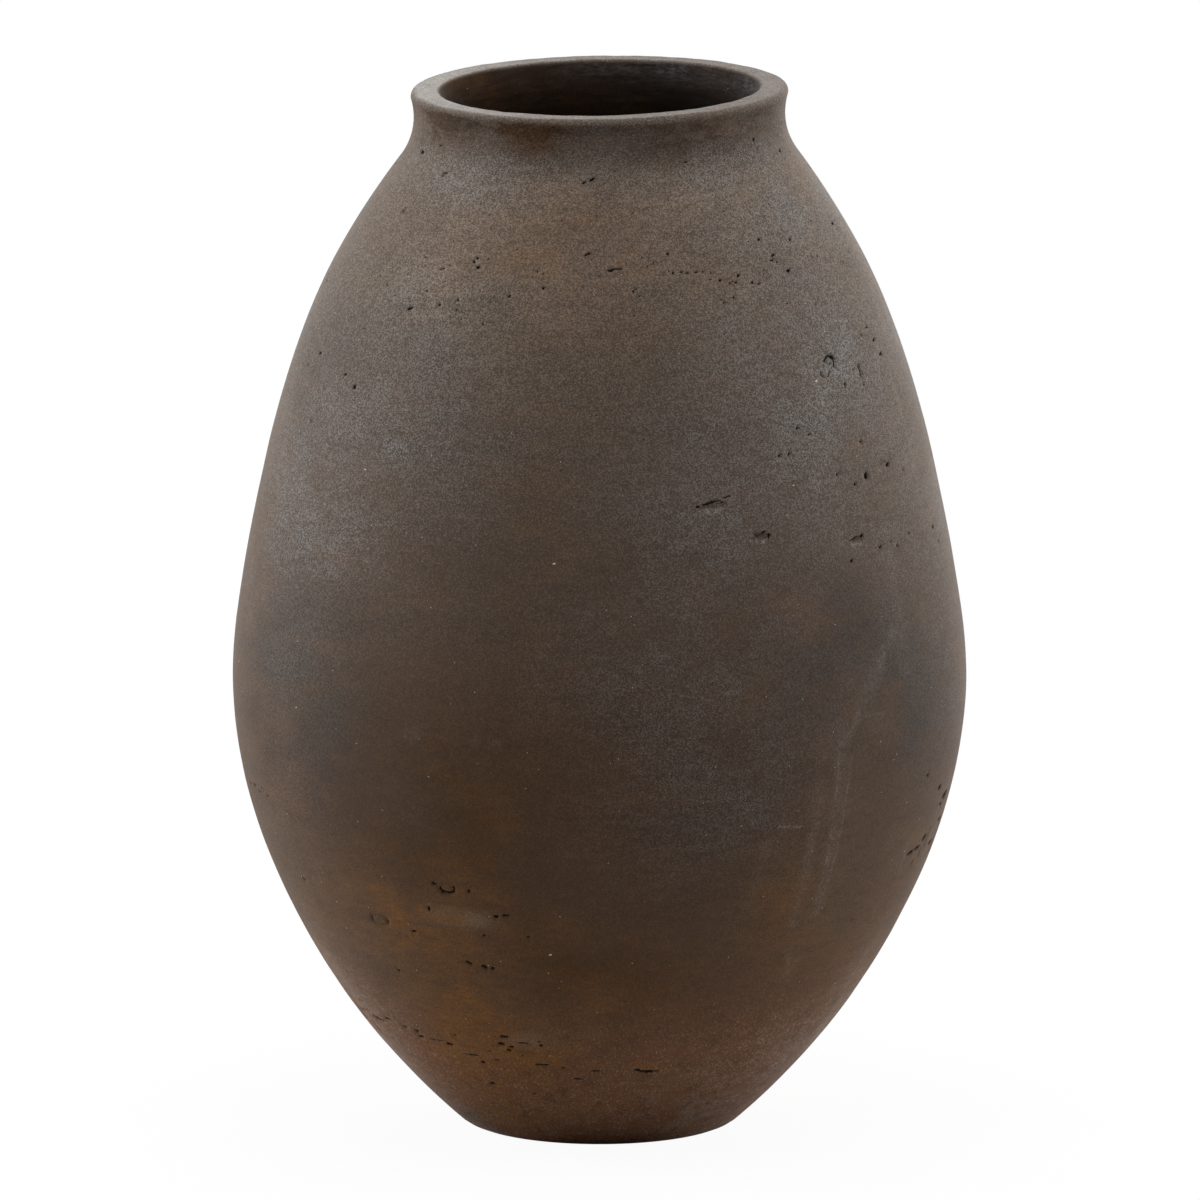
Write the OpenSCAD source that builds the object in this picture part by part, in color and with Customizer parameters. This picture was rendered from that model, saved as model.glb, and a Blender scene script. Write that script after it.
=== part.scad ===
// Egg-shaped earthenware vase, built up from a slab and eight clay courses.
// Millimetres, +Z up, origin at the middle of the foot, on the ground.
// The outline is seven arcs, each tangent to the next: heel, lower wall, belly,
// upper wall, shoulder, neck and lip. The inner wall uses the same centres.
// Each course rests on a bevelled face of the one below, as luted clay does.

/* [Overall] */
// Height from the ground to the top of the rim
height = 400; // [360:1:440]
// Thickness of the clay wall, square to its surface
wall = 11; // [7:0.5:14]

/* [Foot] */
// Diameter of the flat underside, where the heel starts to round
foot_d = 92; // [70:1:110]
// Radius of the rounded heel
heel_round = 12; // [6:0.5:18]
// Thickness of the floor
floor_t = 14; // [9:0.5:20]
// Radius between the floor and the inside of the wall
floor_fillet = 14; // [6:1:24]
// Width of the flat ring that the vase stands on
rest_ring_w = 14; // [8:1:24]
// Depth of the hollow inside that ring
foot_hollow = 1.5; // [0.5:0.5:4]

/* [Body] */
// Radius of the lower wall, from the heel to the belly
lower_wall_round = 266; // [225:1:400]
// Greatest diameter
belly_d = 279; // [250:1:310]
// Height of the greatest diameter
belly_h = 174; // [155:1:190]
// Radius of the belly, seen from the side
belly_round = 175; // [150:1:200]
// How far the belly radius carries on above the greatest diameter
belly_rise = 24; // [12:1:40]
// Radius of the upper wall, from the belly to the shoulder
upper_wall_round = 672; // [450:1:900]
// Height at which the upper wall turns into the shoulder
shoulder_h = 282; // [262:1:296]

/* [Neck and rim] */
// Outside diameter at the throat, the narrowest place of the neck
throat_d = 141; // [124:1:158]
// Depth of the throat below the top of the rim
throat_drop = 10.2; // [8:0.1:16]
// How far the rim flares out past the throat, on each side
rim_flare = 1.1; // [0.8:0.1:4]
// Radius of the outer edge of the rim
lip_round = 2.3; // [1:0.1:3]
// Radius of the inner edge of the rim
mouth_round = 2; // [1:0.1:3]

/* [Courses] */
// Angle at which each luted face rises from the outside to the inside
lute_bevel = 24; // [10:1:35]
// Height of the joint between the foot course and the lower wall course
foot_joint_h = 44; // [36:1:60]
// Height of the joint between the lower wall course and the lower belly course
lower_joint_h = 116; // [90:1:140]
// Height of the joint between the two belly courses
belly_joint_h = 174; // [155:1:195]
// Height of the rim above the joint between the upper belly course and the lower shoulder course
upper_joint_h = 148; // [130:1:175]
// Height of the rim above the joint between the two shoulder courses
shoulder_joint_h = 100; // [86:1:114]
// Depth of the joint under the neck collar, below the top of the rim
collar_joint_drop = 54; // [46:1:62]
// Depth of the joint under the rim coil, below the top of the rim
rim_joint_drop = 22; // [17:1:34]

/* [Hidden] */
$fn = 256;

// Clay colours, from the scorched foot to the ash-grey shoulder
foot_clay = "#54402f";
wall_clay = "#4c4038";
shoulder_clay = "#5a5047";
rim_clay = "#64584d";

// The direction a quarter turn to the left of a unit direction
function left_of(t) = [-t.y, t.x];

// Where circles about a and b cross, on the left of the way from a to b
function crossing(a, radius_a, b, radius_b) =
    let (
        span = norm(b - a),
        along = (span * span + radius_a * radius_a - radius_b * radius_b) / (2 * span),
        across = sqrt(radius_a * radius_a - along * along),
        way = (b - a) / span
    )
    a + along * way + across * left_of(way);

// The point at a radius from a centre, on the ray towards another point
function on_ray(centre, towards, radius) =
    centre + radius * (towards - centre) / norm(towards - centre);

// Half width, at a height, of an arc that bulges outwards
function bulge_r(centre, radius, z) = centre.x + sqrt(radius * radius - pow(z - centre.y, 2));

// Half width, at a height, of an arc that is hollow from outside
function hollow_r(centre, radius, z) = centre.x - sqrt(radius * radius - pow(z - centre.y, 2));

// Heel, belly and lower wall: the lower wall touches both others from outside
heel_c = [foot_d / 2, heel_round];
belly_c = [belly_d / 2 - belly_round, belly_h];
lower_c = crossing(
    heel_c, lower_wall_round - heel_round,
    belly_c, lower_wall_round - belly_round
);
heel_end = on_ray(lower_c, heel_c, lower_wall_round);
lower_end = on_ray(lower_c, belly_c, lower_wall_round);

// Upper wall: it leaves the belly circle at belly_rise and ends at shoulder_h
belly_end = [bulge_r(belly_c, belly_round, belly_h + belly_rise), belly_h + belly_rise];
upper_c = on_ray(belly_end, belly_c, upper_wall_round);
upper_end = [bulge_r(upper_c, upper_wall_round, shoulder_h), shoulder_h];

// Lip and neck: the hollow neck passes the throat and touches the lip from outside
rim_r = throat_d / 2 + rim_flare;
lip_c = [rim_r - lip_round, height - lip_round];
throat_h = height - throat_drop;
lip_rise = lip_c.y - throat_h;
lip_reach = lip_c.x - throat_d / 2;
neck_round = (lip_reach * lip_reach + lip_rise * lip_rise - lip_round * lip_round) / (2 * rim_flare);
neck_c = [throat_d / 2 + neck_round, throat_h];
neck_end = on_ray(neck_c, lip_c, neck_round);

// Shoulder: it leaves the upper wall smoothly and touches the neck from outside
inward = (upper_c - upper_end) / upper_wall_round;
neck_gap = upper_end - neck_c;
shoulder_round = (neck_round * neck_round - neck_gap * neck_gap) / (2 * (neck_gap * inward - neck_round));
shoulder_c = upper_end + shoulder_round * inward;
shoulder_end = on_ray(shoulder_c, neck_c, shoulder_round);

// Inside of the neck and of the mouth's edge
throat_inner_round = neck_round + wall;
mouth_c_h = height - mouth_round;
mouth_c = [hollow_r(neck_c, throat_inner_round - mouth_round, mouth_c_h), mouth_c_h];
mouth_start = on_ray(neck_c, mouth_c, throat_inner_round);

// Fillet that joins the floor to the inside of the lower wall
lower_inner_round = lower_wall_round - wall;
fillet_c_h = floor_t + floor_fillet;
fillet_c = [bulge_r(lower_c, lower_inner_round - floor_fillet, fillet_c_h), fillet_c_h];
fillet_end = on_ray(lower_c, fillet_c, lower_inner_round);

// How far the tighter of two neighbouring arcs runs on, unseen, inside the other's band
lap = 2;

// Bulging arcs of the outline from the ground up: centre, radius, lowest and highest height
OUTER_ARCS = [
    [heel_c, heel_round, 0, heel_end.y + lap],
    [lower_c, lower_wall_round, heel_end.y, lower_end.y],
    [belly_c, belly_round, lower_end.y - lap, belly_end.y + lap],
    [upper_c, upper_wall_round, belly_end.y, upper_end.y],
    [shoulder_c, shoulder_round, upper_end.y - lap, shoulder_end.y + lap]
];

// The same for the cavity, from the floor up
lower_inner_top = on_ray(lower_c, lower_end, lower_inner_round).y;
belly_inner_top = on_ray(belly_c, belly_end, belly_round - wall).y;
upper_inner_top = on_ray(upper_c, upper_end, upper_wall_round - wall).y;
shoulder_inner_top = on_ray(shoulder_c, shoulder_end, shoulder_round - wall).y;
INNER_ARCS = [
    [fillet_c, floor_fillet, floor_t, fillet_end.y + lap],
    [lower_c, lower_inner_round, fillet_end.y, lower_inner_top],
    [belly_c, belly_round - wall, lower_inner_top - lap, belly_inner_top + lap],
    [upper_c, upper_wall_round - wall, belly_inner_top, upper_inner_top],
    [shoulder_c, shoulder_round - wall, upper_inner_top - lap, shoulder_inner_top + lap]
];

// Half width of the outside at a height below the lip: where bands lap, the wider one
function outer_r(z) =
    z > shoulder_end.y
        ? hollow_r(neck_c, neck_round, z)
        : max([for (arc = OUTER_ARCS) if (z >= arc[2] && z <= arc[3]) bulge_r(arc[0], arc[1], z)]);

// Height, at a half width, of the luted face that meets the outside at a joint height
function lute_h(joint_h, r) = joint_h + tan(lute_bevel) * (outer_r(joint_h) - r);

// Reach of the flat shapes below, past the widest place
reach = belly_d;

// Half section from the axis to a bulging arc
module arc_band(arc) {
    centre = arc[0];
    if (centre.x > 0)
        translate([0, arc[2]])
            square([centre.x, arc[3] - arc[2]]);
    intersection() {
        translate(centre)
            circle(r = arc[1]);
        translate([max(centre.x, 0), arc[2]])
            square([reach, arc[3] - arc[2]]);
    }
}

// Half section from the axis to a hollow arc, up to a height
module hollow_band(centre, radius, low, high) {
    difference() {
        translate([0, low])
            square([centre.x, high - low]);
        translate(centre)
            circle(r = radius);
    }
}

// Half section of the vase if it were solid
module outer_section() {
    for (arc = OUTER_ARCS)
        arc_band(arc);
    hollow_band(neck_c, neck_round, shoulder_end.y, neck_end.y);
    arc_band([lip_c, lip_round, neck_end.y - lap, height]);
}

// Half section of the cavity, open at the mouth
module cavity_section() {
    for (arc = INNER_ARCS)
        arc_band(arc);
    hollow_band(neck_c, throat_inner_round, shoulder_inner_top, mouth_start.y);
    hollow_band(mouth_c, mouth_round, mouth_start.y, height + lap);
}

// Half section of the hollow under the foot, with a slope at its edge
module foot_hollow_section() {
    edge_r = foot_d / 2 - rest_ring_w;
    roof_r = edge_r - 2 * foot_hollow;
    polygon([[0, -lap], [edge_r, -lap], [edge_r, 0], [roof_r, foot_hollow], [0, foot_hollow]]);
}

// Half section of the clay wall and floor
module clay_section() {
    difference() {
        outer_section();
        cavity_section();
        foot_hollow_section();
    }
}

// Everything below the luted face at a joint
module below_joint(joint_h) {
    polygon([[0, -height], [reach, -height], [reach, lute_h(joint_h, reach)], [0, lute_h(joint_h, 0)]]);
}

// One course: the clay between the luted faces at two joints
module course(low_joint_h, high_joint_h) {
    rotate_extrude()
        difference() {
            intersection() {
                clay_section();
                below_joint(high_joint_h);
            }
            below_joint(low_joint_h);
        }
}

// Floor disc with the heel, its edge pinched up to take the first course
module base_slab() {
    color(foot_clay)
        rotate_extrude()
            intersection() {
                clay_section();
                below_joint(floor_t);
            }
}

// First ring on the slab, the narrowest of the lower wall
module foot_course() {
    color(foot_clay)
        course(floor_t, foot_joint_h);
}

// Ring that opens out from the foot
module lower_wall_course() {
    color(foot_clay)
        course(foot_joint_h, lower_joint_h);
}

// Ring below the greatest diameter
module lower_belly_course() {
    color(wall_clay)
        course(lower_joint_h, belly_joint_h);
}

// Ring above the greatest diameter
module upper_belly_course() {
    color(wall_clay)
        course(belly_joint_h, height - upper_joint_h);
}

// Ring that starts to close in
module lower_shoulder_course() {
    color(shoulder_clay)
        course(height - upper_joint_h, height - shoulder_joint_h);
}

// Ring that closes in towards the neck
module upper_shoulder_course() {
    color(shoulder_clay)
        course(height - shoulder_joint_h, height - collar_joint_drop);
}

// Ring that turns the shoulder into the hollow neck
module neck_collar() {
    color(shoulder_clay)
        course(height - collar_joint_drop, height - rim_joint_drop);
}

// Last coil, with the flared lip and the flat top
module rim_coil() {
    color(rim_clay)
        rotate_extrude()
            difference() {
                clay_section();
                below_joint(height - rim_joint_drop);
            }
}

base_slab();
foot_course();
lower_wall_course();
lower_belly_course();
upper_belly_course();
lower_shoulder_course();
upper_shoulder_course();
neck_collar();
rim_coil();
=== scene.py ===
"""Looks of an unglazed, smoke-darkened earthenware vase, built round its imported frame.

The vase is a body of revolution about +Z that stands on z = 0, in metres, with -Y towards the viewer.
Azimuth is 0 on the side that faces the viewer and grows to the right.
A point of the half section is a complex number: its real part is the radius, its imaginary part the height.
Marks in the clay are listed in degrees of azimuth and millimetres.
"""

import itertools
import math
from typing import NamedTuple

import bpy
import numpy as np
from bpy.props import FloatProperty, FloatVectorProperty, IntProperty, PointerProperty
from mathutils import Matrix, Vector


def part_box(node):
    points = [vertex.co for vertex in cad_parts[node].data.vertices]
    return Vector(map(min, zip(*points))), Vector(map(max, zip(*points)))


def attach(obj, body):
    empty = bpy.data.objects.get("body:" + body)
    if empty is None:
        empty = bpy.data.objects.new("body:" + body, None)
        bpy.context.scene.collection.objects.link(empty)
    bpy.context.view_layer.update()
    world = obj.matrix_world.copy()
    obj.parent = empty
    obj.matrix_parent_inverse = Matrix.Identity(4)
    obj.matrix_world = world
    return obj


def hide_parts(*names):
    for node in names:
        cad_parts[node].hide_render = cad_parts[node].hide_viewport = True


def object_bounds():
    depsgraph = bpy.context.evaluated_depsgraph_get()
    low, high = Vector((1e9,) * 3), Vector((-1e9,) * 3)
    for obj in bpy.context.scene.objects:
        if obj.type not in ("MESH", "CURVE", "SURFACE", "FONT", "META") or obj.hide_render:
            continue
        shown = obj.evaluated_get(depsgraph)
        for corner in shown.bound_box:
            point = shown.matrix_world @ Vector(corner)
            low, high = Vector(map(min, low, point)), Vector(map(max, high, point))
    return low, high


bl_info = {
    "name": "Earthenware vase",
    "version": (1, 0, 0),
    "blender": (4, 5, 0),
    "location": "3D View > Sidebar > Vase",
    "description": "Builds the clay courses of an earthenware vase, their finish and a plain stage",
    "category": "Add Mesh",
}

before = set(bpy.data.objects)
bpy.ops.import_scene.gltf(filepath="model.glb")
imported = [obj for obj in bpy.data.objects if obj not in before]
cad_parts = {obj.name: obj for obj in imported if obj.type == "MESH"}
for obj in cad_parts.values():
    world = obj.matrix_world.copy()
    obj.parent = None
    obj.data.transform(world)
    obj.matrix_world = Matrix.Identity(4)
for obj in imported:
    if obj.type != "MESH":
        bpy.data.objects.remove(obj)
CAD_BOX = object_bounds()
MM = 0.001

# Courses from the ground up, and the heights at which their joints meet the outside
COURSES = sorted(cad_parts, key=lambda node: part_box(node)[0].z)
JOINT_HEIGHTS = [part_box(node)[0].z for node in COURSES[1:]]


def length(name, millimetres, description):
    """A size in metres, with its default written in millimetres."""
    return FloatProperty(name=name, description=description, default=millimetres * MM, unit="LENGTH")


def angle(name, degrees, description):
    """An angle, with its default written in degrees."""
    return FloatProperty(name=name, description=description, default=math.radians(degrees), subtype="ANGLE")


def colour(name, default, description):
    """A linear colour."""
    return FloatVectorProperty(
        name=name, description=description, default=default, subtype="COLOR", size=3, min=0, max=1
    )


def share(name, default, description):
    """A plain number from 0 to 1."""
    return FloatProperty(
        name=name, description=description, default=default, subtype="FACTOR", min=0, max=1
    )


class VaseOutline(bpy.types.PropertyGroup):
    """Sizes of the half section: an outline of tangent arcs and a wall of even thickness."""

    height: length("Height", CAD_BOX[1].z / MM, "From the ground to the top of the rim")
    wall: length("Wall", 11, "Thickness of the clay wall")
    foot_d: length("Foot", 92, "Diameter of the flat underside")
    heel_round: length("Heel", 12, "Radius of the rounded heel")
    floor_t: length("Floor", 14, "Thickness of the floor")
    floor_fillet: length("Floor fillet", 14, "Radius between the floor and the wall")
    rest_ring_w: length("Rest ring", 14, "Width of the ring that the vase stands on")
    foot_hollow: length("Foot hollow", 1.5, "Depth of the hollow inside that ring")
    lower_wall_round: length("Lower wall", 266, "Radius of the lower wall")
    belly_d: length("Belly", 2 * CAD_BOX[1].x / MM, "Greatest diameter")
    belly_h: length("Belly height", 174, "Height of the greatest diameter")
    belly_round: length("Belly round", 175, "Radius of the belly, seen from the side")
    belly_rise: length("Belly rise", 24, "How far the belly radius carries on upwards")
    upper_wall_round: length("Upper wall", 672, "Radius of the upper wall")
    shoulder_h: length("Shoulder height", 282, "Height at which the shoulder starts")
    throat_d: length("Throat", 141, "Outside diameter of the narrowest place of the neck")
    throat_drop: length("Throat drop", 10.2, "Depth of the throat below the rim")
    rim_flare: length("Rim flare", 1.1, "How far the rim flares past the throat")
    lip_round: length("Lip", 2.3, "Radius of the outer edge of the rim")
    mouth_round: length("Mouth edge", 2, "Radius of the inner edge of the rim")
    lute_bevel: angle("Luted face", 24, "Rise of each luted face from the outside to the inside")


class VaseHand(bpy.types.PropertyGroup):
    """How far the hand-built wall departs from the true outline."""

    swelling: length("Swelling", 0.2, "How far the wall swells at its pressed places")
    wobble: length("Wobble", 0.3, "Slow unevenness of the wall")
    dents: length("Dents", 0.1, "Shallow finger dents in the wall")
    wiping: length("Wiping", 0.25, "Depth of the wiped lines inside the mouth")
    rim_tilt: length("Rim tilt", 1.1, "How far the rim stands higher on the right and lower on the left")
    seed: IntProperty(name="Seed", description="Start of every random draw", default=7)


class VaseColours(bpy.types.PropertyGroup):
    """Linear colours of the smoked clay."""

    upper: colour("Upper wall", (0.142, 0.112, 0.090), "Grey-brown clay of the shoulder and the neck")
    lower: colour("Lower wall", (0.096, 0.058, 0.036), "Dark brown clay below the belly")
    foot: colour("Foot", (0.176, 0.071, 0.030), "Warmer clay near the ground")
    ash: colour("Ash", (0.275, 0.280, 0.285), "Blue-grey grains of the bloom where ash settled")
    soot: colour("Soot", (0.064, 0.051, 0.042), "Dark grey where soot settled")
    # Tan also paints light on the side edges of the wall.
    tan: colour("Tan", (0.205, 0.150, 0.108), "Lighter brown where the smoke was thin")
    rust: colour("Rust", (0.166, 0.074, 0.023), "Orange blush where the fire was open")
    # Scorch also paints shade: a band round the throat under the lip, a contact shadow at the heel, and
    # shade under the flakes' upper edges.
    scorch_and_shade: colour("Scorch", (0.050, 0.028, 0.015), "Dark brown where smoke was thick")
    # Pit paints shade inside holes, dashes and grooves, and colours the dark specks in the clay.
    pit: colour("Pit", (0.012, 0.009, 0.007), "Inside of pits and dashes")
    # Pale also paints the highlight on the left of the rim's top.
    pale: colour("Pale", (0.430, 0.400, 0.370), "Rubbed smears and worn edges")
    # The inside colour is far darker than the clay outside: painted shade in the mouth.
    inner: colour("Inside", (0.022, 0.014, 0.010), "The inside of the mouth")
    grit: colour("Grit", (0.600, 0.580, 0.540), "White grains in the clay")


class VaseStage(bpy.types.PropertyGroup):
    """Camera, floor and general light."""

    elevation: angle("Elevation", 11.1, "How far the camera looks down")
    distance: FloatProperty(name="Distance", description="From camera to vase", default=9.6, unit="LENGTH")
    aim_x: length("Aim across", 0.2, "Place that the camera looks at, across")
    aim_h: length("Aim height", 201.75, "Height that the camera looks at")
    frame_w: length("Frame", 456.9, "Width of the picture at the vase")
    floor_r: FloatProperty(name="Floor", description="Radius of the floor", default=4.0, unit="LENGTH")
    floor_colour: colour("Floor colour", (0.75, 0.75, 0.75), "Plain pale floor")
    room_level: share("Room light", 0.04, "Even light from all round")


class Lamp(NamedTuple):
    """A soft lamp that faces the vase. Its level is 1 where it alone shows a colour as written."""

    name: str
    azimuth: float
    elevation: float
    distance: float
    size: float
    level: float


LAMPS = (
    Lamp("left_softbox", -109, 9, 1.6, 1.0, 1.14),
    Lamp("right_softbox", 105, 9, 1.6, 1.0, 0.68),
    Lamp("back_right_softbox", 145, 9, 1.6, 1.0, 0.44),
    Lamp("back_softbox", 180, 24, 1.8, 1.2, 0.5),
    Lamp("top_softbox", 0, 74, 1.5, 1.0, 0.66),
)

# Heights at which the wall swells a little, and how far each swelling reaches, in millimetres
SWELLINGS = (47, 107, 173, 268, 328)
SWELLING_REACH = 16


class Mark(NamedTuple):
    """A hole, dash, flake or grain: its place, its width, its height, how it is turned and its depth."""

    azimuth: float
    height: float
    across: float
    tall: float
    turn: float = 0
    depth: float = 0.9


class Ring(NamedTuple):
    """A groove along part of an ellipse, left by a flake that came loose."""

    azimuth: float
    height: float
    across: float
    tall: float
    turn: float
    start: float
    sweep: float
    groove: float = 0.8
    depth: float = 0.8


class Scrape(NamedTuple):
    """A pale line rubbed on the wall between two places."""

    azimuth: float
    height: float
    end_azimuth: float
    end_height: float
    width: float
    strength: float


class Patch(NamedTuple):
    """A soft patch of colour: its place, its half width in degrees, its half height and its strength."""

    azimuth: float
    height: float
    wide: float
    tall: float
    strength: float


def listed(kind, *rows):
    """Marks of one kind, from rows of their values."""
    return tuple(kind(*row) for row in rows)


# Holes and dashes
PITS = listed(
    Mark,
    # Under the rim
    (-68.5, 380.5, 3.2, 1.2), (-58, 385, 1.4, 0.9), (55.5, 386, 1.6, 1.3), (-4.5, 376.5, 2.2, 0.9, 25),
    (-2.2, 377.6, 2.4, 0.9, 28), (27, 382, 1.2, 0.9), (70, 379, 2, 1),
    # Foot of the neck
    (3.5, 346.6, 5.8, 1.2, 10), (-3, 352, 2.6, 0.9, 20), (-30.5, 347.5, 1.4, 0.9), (-29.8, 349, 1.2, 0.9),
    (-29, 345.8, 1.6, 0.9), (16.5, 351.5, 1.2, 0.9), (17, 344.8, 1, 0.8), (19, 345, 1.2, 0.7),
    (20.4, 344.6, 1.6, 0.8), (22.5, 344.6, 1.3, 0.7), (24.3, 344.6, 1, 0.7), (30.3, 339.6, 1.6, 0.7),
    (31.8, 339.6, 1.2, 0.7), (37.6, 338.2, 1, 0.7), (40, 342.4, 1, 0.7), (43.6, 345.4, 2, 0.7),
    (44.8, 344.6, 1.4, 0.7), (28, 341, 1.8, 0.9), (33, 342, 2.4, 0.9, 20), (36, 339, 1.4, 0.8),
    (44.4, 347, 2.4, 0.8, 20), (47.4, 341, 2.6, 1), (42, 353, 1.2, 0.9), (52, 351, 1.3, 0.9),
    (76, 351, 3, 1), (-12.5, 340, 1.2, 0.9), (-38, 344, 1.2, 0.9),
    # Shoulder
    (-84, 327.5, 3, 1.2), (-43.8, 328.5, 2.8, 1, 22), (-36.3, 331.3, 1.2, 1), (-55.3, 318.5, 1.2, 0.9),
    (67.5, 315, 2.4, 1), (68.7, 310, 3, 1, 12), (69.7, 304.4, 3.4, 1.1, 10), (64, 313, 1.3, 0.9),
    (-69, 305, 2.6, 1, 10), (-56.7, 301, 2.2, 1, 12), (-52.8, 297.4, 1.2, 2.4, -15), (-73, 299, 2, 0.9),
    (53.2, 298, 1.1, 2), (57, 302.6, 1.1, 1.1), (59.2, 296.7, 1.2, 1), (41, 283, 1.3, 1),
    (38.5, 286, 1.1, 0.9), (53.8, 276.8, 1.1, 1), (33.7, 277, 1, 0.9), (35.8, 277, 1.1, 0.9),
    (-64, 281, 1.1, 0.9),
    # Above the belly
    (53.5, 264, 2.2, 2.4, 0, 1.4), (60.8, 265.8, 2.4, 1.6, 35, 1.3), (46, 267, 1.3, 1),
    (54, 237.3, 2.4, 1, 20), (46.2, 234.5, 1.4, 1.2), (74.3, 237, 2.8, 1.3), (76, 230.7, 2, 1),
    (59, 236, 1.3, 1), (57.3, 238, 1.1, 0.9), (63.5, 239, 1.6, 0.9), (50, 262, 1.1, 0.9),
    (66, 262, 1.2, 0.9),
    # Dark edges of the flakes there
    (19.2, 262.2, 6, 0.8, 14, 0.7), (22.6, 264, 5, 0.6, 14, 0.4), (17, 261, 2, 0.7, 5, 0.5),
    (29.6, 248.2, 0.9, 3.2, -15), (28.8, 250, 2.4, 0.7, 15, 0.5), (47.6, 242.6, 6, 0.8, 14, 0.6),
    (49.6, 243, 1.6, 1.3), (51.6, 308.8, 2.4, 1.5, -35, 1.1),
    # Below the belly, right
    (65, 145.4, 1.8, 1.1), (72.2, 137.5, 3.6, 1.9), (77.8, 131.8, 8, 3.2), (75.6, 129.4, 3.2, 1.6),
    (79, 121.8, 5, 2), (77.5, 113.3, 5, 1.8), (66, 114, 6, 1.9, 8), (68.8, 115, 4.6, 1.7, 10),
    (71, 118, 4.4, 2.6, 15),
    # Below the belly, left
    (-28.9, 115, 2.4, 1, -12), (-22.5, 113.3, 1.1, 1), (-31, 104.2, 1.5, 2.2, 20),
    (-18.2, 103.3, 2.4, 1.1), (-16.5, 104, 3.4, 1, 6), (-35.5, 93.5, 2.6, 0.9), (-21, 95, 1.1, 0.9),
    (-12.8, 95.4, 1.3, 0.9), (-25.4, 82.6, 3, 1, -35), (-22.3, 81.4, 2.6, 1.3, -20),
    (-20.6, 81, 1.6, 0.9), (-43, 74.8, 1.2, 1.1), (-63, 105, 1.4, 1), (-75, 137, 2.6, 1.1),
    (-72.6, 135.5, 2, 1.1), (-70.4, 137.2, 2.6, 1), (-78, 136.5, 2.4, 1), (-68.4, 136, 1.8, 1),
    # Above the foot
    (-70, 49.2, 6, 1.4), (-62.5, 47.9, 10, 1.5, -4, 1.1), (-57, 49.7, 4.6, 1.3), (-66, 50.5, 4, 1),
    (-67.4, 54, 4.6, 1.2, -10), (-47.2, 47.6, 1.8, 1.6), (-46.8, 45.4, 2.6, 1.3),
    (-41.5, 45, 7.5, 0.9, -4), (-38.2, 44.2, 3.4, 1.5, -8), (-33, 40.7, 6.5, 0.9, -3),
    (-30.6, 37.8, 1.9, 1.6), (-26, 39.6, 2, 1), (-22, 50.8, 3.8, 1.4), (-23.4, 47.4, 3.6, 1.4),
    (-21, 46.4, 2, 1.2), (-21.9, 44.6, 1.8, 1.2), (-13.8, 49.6, 1.4, 0.9), (-13.6, 47.8, 1.6, 1),
    (-17.5, 48.6, 5, 0.6, 4, 0.5), (-14.3, 39, 6, 1.1), (-9, 38, 2, 0.9), (-1, 36.6, 4, 1.3, 6),
    (12.4, 36, 8, 1.6, -2, 1.2), (9.6, 36.8, 2.4, 1.5), (-31, 28, 3.4, 1.1), (-19, 25, 1.8, 0.9),
    (-35, 49, 1.4, 1), (-51, 48.4, 2, 1.1), (-6, 33, 7, 0.6, 0, 0.4), (-27, 43.6, 1.4, 0.9),
    (-18.6, 42.8, 1.3, 0.9),
)

# Shallow broken places, deepest under their upper edge
FLAKES = listed(
    Mark,
    (19.8, 260.4, 12, 5, 14, 1), (28, 247.6, 7, 5, 20, 0.9), (48.2, 241.2, 7.6, 4.2, 12, 0.9),
    (49.4, 305.6, 7, 5, 25, 0.5), (58.6, 266, 8, 5, 0, 0.3),
)

# White grains that stand out of the wall
GRAINS = tuple(Mark(azimuth, height, across, across) for azimuth, height, across in (
    (-7.5, 241, 1), (45.5, 301.6, 1.1), (-0.5, 271, 0.6), (-9, 88.4, 0.9), (-0.5, 114, 0.6),
    (-27.5, 158, 0.7), (-45.2, 269, 0.7), (-31, 247.6, 0.6), (35.7, 265.5, 0.7), (16, 139, 0.6),
    (23, 139.6, 0.6), (-55, 176, 0.6),
))

RINGS = listed(
    Ring,
    (-51, 375.2, 2.6, 2.2, 0, 30, 200), (-59.5, 361, 3.4, 1.8, 30, 60, 260, 0.7, 0.6),
    (50.4, 306.6, 6.4, 5.4, 30, -80, 210, 1.2, 1.1), (48.6, 304, 5, 3.6, 20, 120, 240, 0.9, 0.7),
    (58.4, 301.4, 4.4, 5.2, 0, -80, 150, 1.4, 1.2), (-26.6, 113.6, 6.4, 4.4, 0, 160, 240, 1.1, 1),
    (-43, 96, 8.6, 4.8, 0, 0, 360, 0.8, 0.6),
)

SCRAPES = listed(
    Scrape,
    (41, 174, 41.4, 100, 3.2, 0.12), (40.4, 170, 40.8, 104, 0.8, 0.22), (43, 160, 42.2, 108, 0.8, 0.18),
    (37, 150, 36.6, 96, 2.6, 0.11), (54, 206, 45, 180, 3.6, 0.13), (45, 180, 42, 168, 2, 0.16),
    (71, 300, 71.2, 262, 1.6, 0.12), (56, 232, 56.2, 190, 4.5, 0.08), (30, 137.6, 34, 136.8, 0.45, 0.4),
    (38, 84, 40.5, 72, 1.6, 0.12), (41, 80, 38, 70, 1.2, 0.1), (28, 132, 26.6, 106, 2.6, 0.06),
    (13, 248.6, 16.4, 248, 0.6, 0.2), (20.5, 245.5, 24, 243.5, 4, 0.09),
    (-41.5, 378, -35, 384, 0.9, 0.16), (44, 176.6, 50, 175.8, 0.9, 0.1),
    (-65, 51.8, -60.5, 51.2, 0.7, 0.3), (-31, 174, -30, 174, 3.4, 0.09), (-20, 174, -19.4, 174, 2, 0.09),
    (-16.6, 172.6, -16, 172.6, 2.2, 0.08), (-3, 221, -1, 223, 0.8, 0.12), (-34, 380, -31, 385, 0.7, 0.16),
    (3, 388, 8, 384, 0.8, 0.14), (14, 390, 20, 386, 0.9, 0.14), (-29, 102.2, -22.5, 101.2, 2.4, 0.06),
)

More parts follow.
